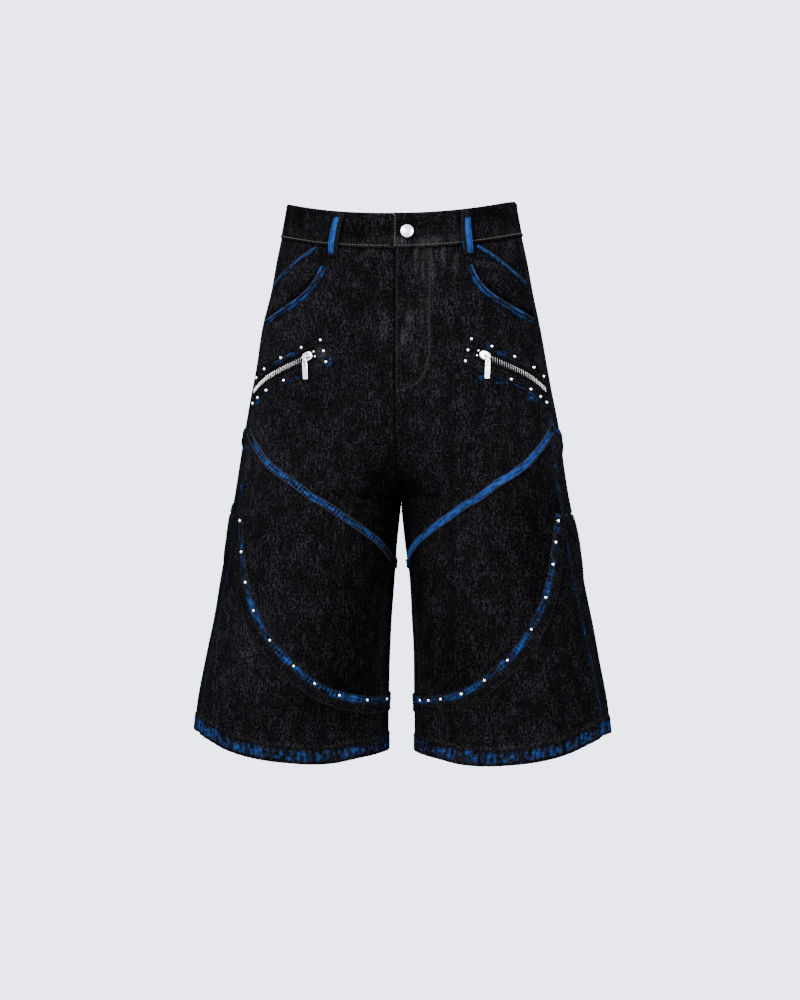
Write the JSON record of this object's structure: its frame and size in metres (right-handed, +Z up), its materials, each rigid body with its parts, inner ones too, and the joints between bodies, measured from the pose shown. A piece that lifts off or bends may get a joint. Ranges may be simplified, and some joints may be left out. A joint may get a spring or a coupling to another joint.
{
  "type": "studded cropped jeans",
  "caption": "Wide black denim jeans cropped below the knee, hollow as worn, with slanted zip pockets, curved panel seams, small metal studs and brushed blue seams.",
  "frame": {"origin": "centre of the waist opening, level with the waistband's top edge at the sides, where the wearer holds the garment", "axes": "+Z up the body, +X to the wearer's left, -Y is the front"},
  "size_m": [0.506, 0.2436, 0.6764],
  "materials": {
    "black_denim": "washed twill",
    "brushed_blue": "dry brushed",
    "zip_tape": "woven tape",
    "nickel": "polished"
  },
  "bodies": {
    "jeans": {"arc_band_back_left": "brushed_blue", "arc_band_back_right": "brushed_blue", "arc_band_front_left": "brushed_blue", "arc_band_front_right": "brushed_blue", "back_knee_left": "black_denim", "back_knee_right": "black_denim", "back_lower_left": "black_denim", "back_lower_right": "black_denim", "back_upper_left": "black_denim", "back_upper_right": "black_denim", "belt_loop_back_left": "brushed_blue", "belt_loop_back_right": "brushed_blue", "belt_loop_centre_back": "brushed_blue", "belt_loop_front_left": "brushed_blue", "belt_loop_front_right": "brushed_blue", "facing_trim_left": "brushed_blue", "facing_trim_right": "brushed_blue", "front_knee_left": "black_denim", "front_knee_right": "black_denim", "front_lower_left": "black_denim", "front_lower_right": "black_denim", "front_upper_left": "black_denim", "front_upper_right": "black_denim", "hip_piece_left": "black_denim", "hip_piece_right": "black_denim", "knee_trim_back_left": "brushed_blue", "knee_trim_back_right": "brushed_blue", "knee_trim_front_left": "brushed_blue", "knee_trim_front_right": "brushed_blue", "pocket_facing_left": "black_denim", "pocket_facing_right": "black_denim", "scoop_trim_left": "brushed_blue", "scoop_trim_right": "brushed_blue", "waist_button": "nickel", "waistband_left": "black_denim", "waistband_right": "black_denim", "zip_slider_left": "nickel", "zip_slider_right": "nickel", "zip_tape_left": "zip_tape", "zip_tape_right": "zip_tape", "zip_welt_left": "black_denim", "zip_welt_right": "black_denim"},
    "left_zip_pull": {"pull_tab_left": "nickel"},
    "right_zip_pull": {"pull_tab_right": "nickel"}
  },
  "joints": [
    {"name": "left_pull_swing", "type": "hinge", "parent": "jeans", "child": "left_zip_pull", "pos_m": [0.10711, -0.09946, -0.19366], "axis": [-0.8632, -0.3535, 0.3604], "range_deg": [0, 160]},
    {"name": "right_pull_swing", "type": "hinge", "parent": "jeans", "child": "right_zip_pull", "pos_m": [-0.10711, -0.09946, -0.19366], "axis": [-0.8632, 0.3535, -0.3604], "range_deg": [0, 160]}
  ]
}
